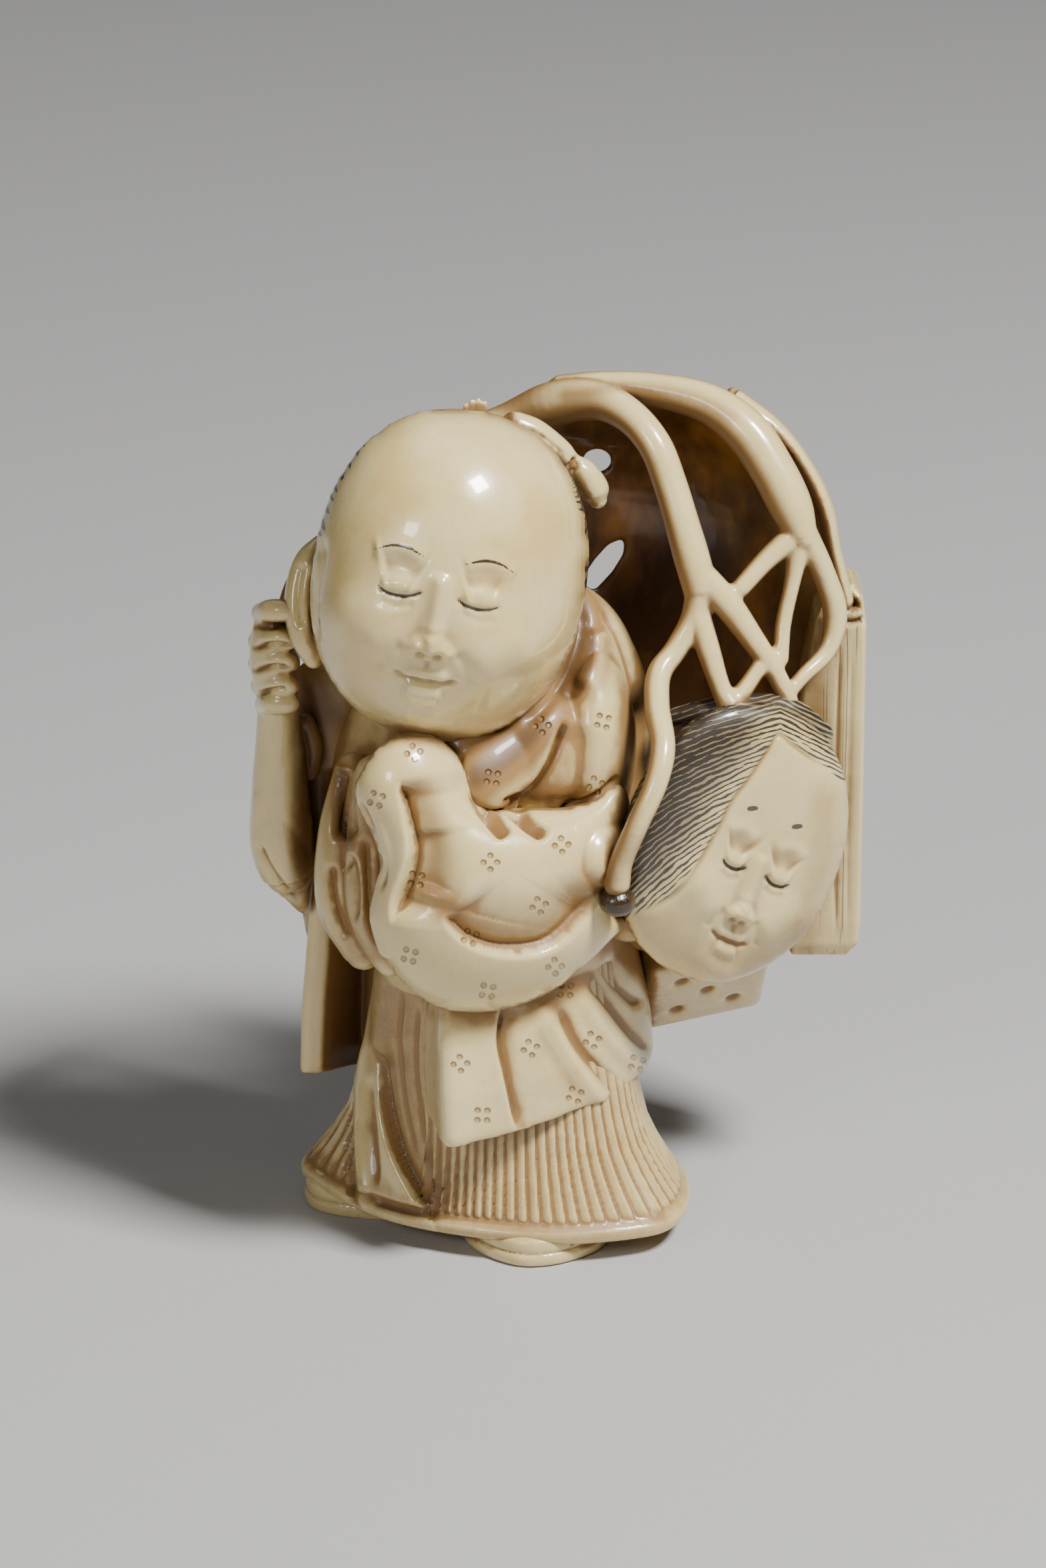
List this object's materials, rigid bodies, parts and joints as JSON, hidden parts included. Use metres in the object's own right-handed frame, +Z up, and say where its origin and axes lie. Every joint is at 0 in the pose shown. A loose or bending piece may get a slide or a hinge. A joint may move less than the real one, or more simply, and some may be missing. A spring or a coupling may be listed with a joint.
{
  "type": "okimono carving",
  "caption": "Ivory okimono of a stout man in robes and pleated skirt who shoulders an openwork branch hung with a woman's mask, a die and an account book, with horn beads.",
  "frame": {"origin": "on the ground plane, at a point of the front foot's flat sole that lies below the collar's middle", "axes": "+Z up, -Y towards the viewer (the side the face looks to), +X towards the mask and book"},
  "size_m": [0.0357, 0.0243, 0.0509],
  "materials": {
    "ivory": "polished ivory, stained brown in the recesses",
    "horn": "polished dark horn"
  },
  "bodies": {
    "root": {"ivory_carving": "ivory", "horn_bead": "horn", "horn_bead_back": "horn"}
  },
  "joints": []
}
